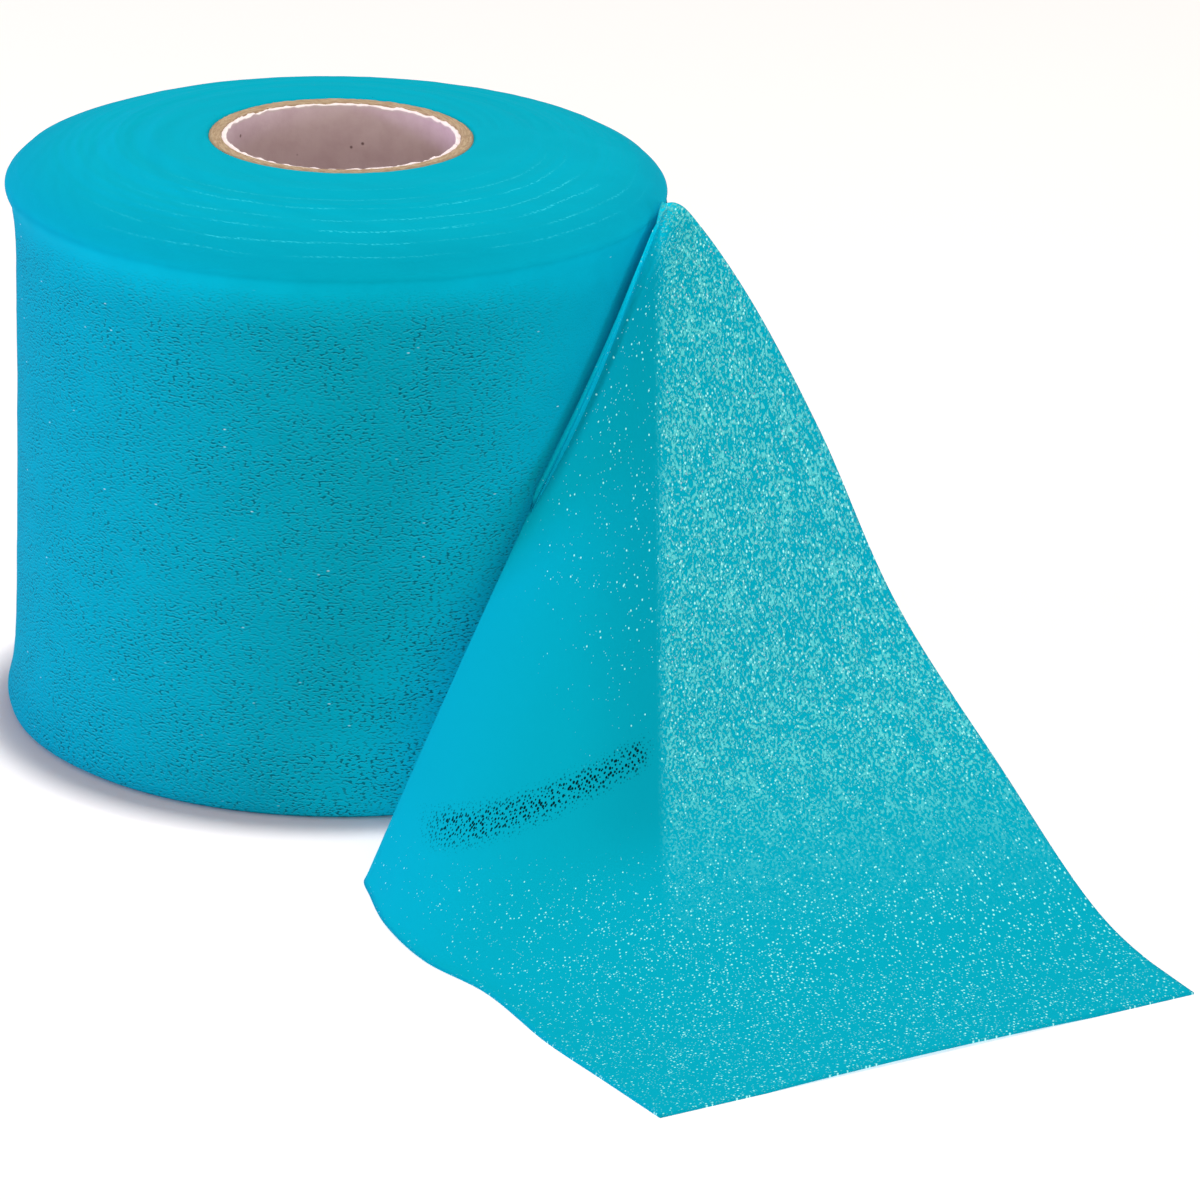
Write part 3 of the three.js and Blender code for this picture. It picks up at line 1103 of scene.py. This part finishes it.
def board_material():
    graph = Graph("kraft_board")
    web = graph.kept("web")
    arc, _, radius = graph.parts(web)
    fibre = graph.noise(graph.sized(web, FIBRE_SIZE), detail=4.0, roughness=FIBRE_ROUGHNESS)
    plies = graph.noise(graph.sized(graph.point(radius, arc), PLY_SIZE), detail=1.0)
    rim = graph.times(graph.steps(radius, *BOARD_RIM), graph.steps(fibre, *FIBRE_AT_RIM))
    colour = graph.mix(graph.steps(fibre, *FIBRE_LIGHT), BOARD_TAN, BOARD_LIGHT)
    colour = graph.mix(graph.steps(plies, *PLY_DARK), colour, BOARD_DARK)
    return graph.finish(
        Base_Color=graph.mix(rim, colour, BOARD_DARK),
        Roughness=BOARD_SURFACE_ROUGHNESS,
        Specular_IOR_Level=BOARD_GLOSS,
        Normal=graph.bump(fibre, BOARD_BUMP),
    )


LINER_GREY = (0.93, 0.85, 0.86, 1.0)
LINER_SHADE = (0.84, 0.74, 0.76, 1.0)
LINER_SPECK = (0.25, 0.18, 0.18, 1.0)
LINER_TORN = (0.88, 0.84, 0.80, 1.0)
LINER_ROUGHNESS = 0.75
LINER_GLOSS = 0.3
LINER_BUMP = 0.1
LINER_TONE_SIZE = (3.0, 3.0, 3.0)
LINER_TONE_ROUGHNESS = 0.6
LINER_TONE = (0.3, 0.75)
SPECK_SIZE = (1.3, 1.3, 1.3)
SPECK_WIDTH = (0.22, 0.1)
SPECK_CHANCE = (0.9, 0.93)
SEAM_SLOPE = 1.15
SEAM_WIDTH = (0.16, 0.04, 0.0, 0.55)
TORN_NOISE_SIZE = (0.8, 0.8, 0.8)
TORN_REACH = 0.7
TORN_LINE = CORE_LENGTH - LINER_SET_BACK
TORN_WHITE = (TORN_LINE - 0.1, TORN_LINE + 0.1)
TORN_WHITE_SHARE = 0.85
TORN_INNER = (LINER_INNER + 0.4, LINER_INNER + 0.2, 0.25, 1.0)


def torn_edge(graph, web, height, radius):
    """The white of the torn paper, down to an uneven line, and most of it on the inner face."""
    torn = graph.noise(graph.sized(web, TORN_NOISE_SIZE), detail=3.0)
    level = graph.plus(height, graph.times(torn, TORN_REACH))
    return graph.times(
        graph.steps(level, *TORN_WHITE),
        TORN_WHITE_SHARE,
        graph.steps(radius, *TORN_INNER),
    )


def liner_material():
    """Grey paper with a few dark specks and the slanting line where its turns meet."""
    graph = Graph("liner_paper")
    web = graph.kept("web")
    arc, height, radius = graph.parts(web)
    tone = graph.noise(graph.sized(web, LINER_TONE_SIZE), detail=4.0, roughness=LINER_TONE_ROUGHNESS)
    near, chance = graph.cells(graph.sized(web, SPECK_SIZE), flat=False)
    speck = graph.times(graph.steps(near, *SPECK_WIDTH), graph.steps(chance, *SPECK_CHANCE))
    turn = graph.plus(arc, graph.times(height, SEAM_SLOPE))
    from_seam = graph.math("PINGPONG", turn, FULL_TURN * LINER_INNER / 2)
    colour = graph.mix(graph.steps(tone, *LINER_TONE), LINER_GREY, LINER_SHADE)
    colour = graph.mix(speck, colour, LINER_SPECK)
    colour = graph.mix(graph.steps(from_seam, *SEAM_WIDTH), colour, LINER_SPECK)
    return graph.finish(
        Base_Color=graph.mix(torn_edge(graph, web, height, radius), colour, LINER_TORN),
        Roughness=LINER_ROUGHNESS,
        Specular_IOR_Level=LINER_GLOSS,
        Normal=graph.bump(tone, LINER_BUMP),
    )


FLOOR_WHITE = (0.98, 0.95, 0.93, 1.0)
FLOOR_GREY = (0.8, 0.8, 0.8, 1.0)
FLOOR_GRAIN = (0.3, 0.7, 0.0, 0.02)
FLOOR_ROUGHNESS = 0.9
FLOOR_GLOSS = 0.1


def floor_material():
    graph = Graph("floor")
    coordinates = graph.tree.nodes.new("ShaderNodeTexCoord").outputs["Object"]
    grain = graph.steps(graph.noise(coordinates), *FLOOR_GRAIN)
    return graph.finish(
        Base_Color=graph.mix(grain, FLOOR_WHITE, FLOOR_GREY),
        Roughness=FLOOR_ROUGHNESS,
        Specular_IOR_Level=FLOOR_GLOSS,
    )


# Stage, light and camera

FLOOR_HALF = 3.0
CAMERA_PLACE = (0.0, -697.184, 273.477)
CAMERA_PAN = math.radians(2.58449)
CAMERA_TILT = math.radians(20.48091)
CAMERA_ROLL = math.radians(1.60540)
CAMERA_LENS = 187.609
SENSOR_WIDTH = 36.0
WORLD_COLOUR = (1.0, 0.77, 0.69, 1.0)
WORLD_STRENGTH = 0.43

# Square lights (name, place in millimetres from the roll's foot, side in metres, watts, colour)
LIGHTS = [
    ("key", (25.0, 42.0, 1350.0), 0.10, 13.2, (1.0, 1.0, 1.0)),
    ("left_fill", (-1000.0, -100.0, 110.0), 0.25, 5.6, (0.75, 0.54, 1.0)),
    ("right_fill", (1000.0, -300.0, 110.0), 0.25, 2.9, (0.85, 0.7, 1.0)),
    ("front_fill", (-100.0, -1100.0, 160.0), 0.3, 2.1, (1.0, 0.9, 0.86)),
]


def floor():
    corners = [(-1, -1), (1, -1), (1, 1), (-1, 1)]
    mesh = bpy.data.meshes.new("floor")
    points = [(x * FLOOR_HALF, y * FLOOR_HALF, 0.0) for x, y in corners]
    mesh.from_pydata(points, [], [(0, 1, 2, 3)])
    mesh.materials.append(floor_material())
    made = bpy.data.objects.new("floor", mesh)
    bpy.context.scene.collection.objects.link(made)


def area_light(name, place, size, power, colour):
    """A square light that looks at the roll's middle."""
    data = bpy.data.lights.new(name, "AREA")
    data.size = size
    data.energy = power
    data.color = colour
    light = bpy.data.objects.new(name, data)
    light.location = placed(place)
    aim = Vector(placed((0.0, 0.0, CORE_LENGTH / 2))) - light.location
    light.rotation_euler = aim.to_track_quat("-Z", "Y").to_euler()
    bpy.context.scene.collection.objects.link(light)


def world():
    made = bpy.data.worlds.new("studio")
    made.use_nodes = True
    background = made.node_tree.nodes["Background"]
    background.inputs["Color"].default_value = WORLD_COLOUR
    background.inputs["Strength"].default_value = WORLD_STRENGTH
    bpy.context.scene.world = made


def camera():
    data = bpy.data.cameras.new("camera")
    data.sensor_width = SENSOR_WIDTH
    data.lens = CAMERA_LENS
    made = bpy.data.objects.new("camera", data)
    ahead = Vector((
        math.sin(CAMERA_PAN) * math.cos(CAMERA_TILT),
        math.cos(CAMERA_PAN) * math.cos(CAMERA_TILT),
        -math.sin(CAMERA_TILT),
    ))
    level = Vector((math.cos(CAMERA_PAN), -math.sin(CAMERA_PAN), 0.0))
    above = level.cross(ahead)
    right = level * math.cos(CAMERA_ROLL) + above * math.sin(CAMERA_ROLL)
    up = above * math.cos(CAMERA_ROLL) - level * math.sin(CAMERA_ROLL)
    turn = Matrix((right, up, -ahead)).transposed()
    made.matrix_world = Matrix.Translation(placed(CAMERA_PLACE)) @ turn.to_4x4()
    bpy.context.scene.collection.objects.link(made)
    bpy.context.scene.camera = made


camera()
world()
floor()
for light in LIGHTS:
    area_light(*light)
bpy.context.scene.view_settings.view_transform = "Standard"

board(board_material())
liner(liner_material())
wound_foam(foam_material())
loose_end(sheer_material())
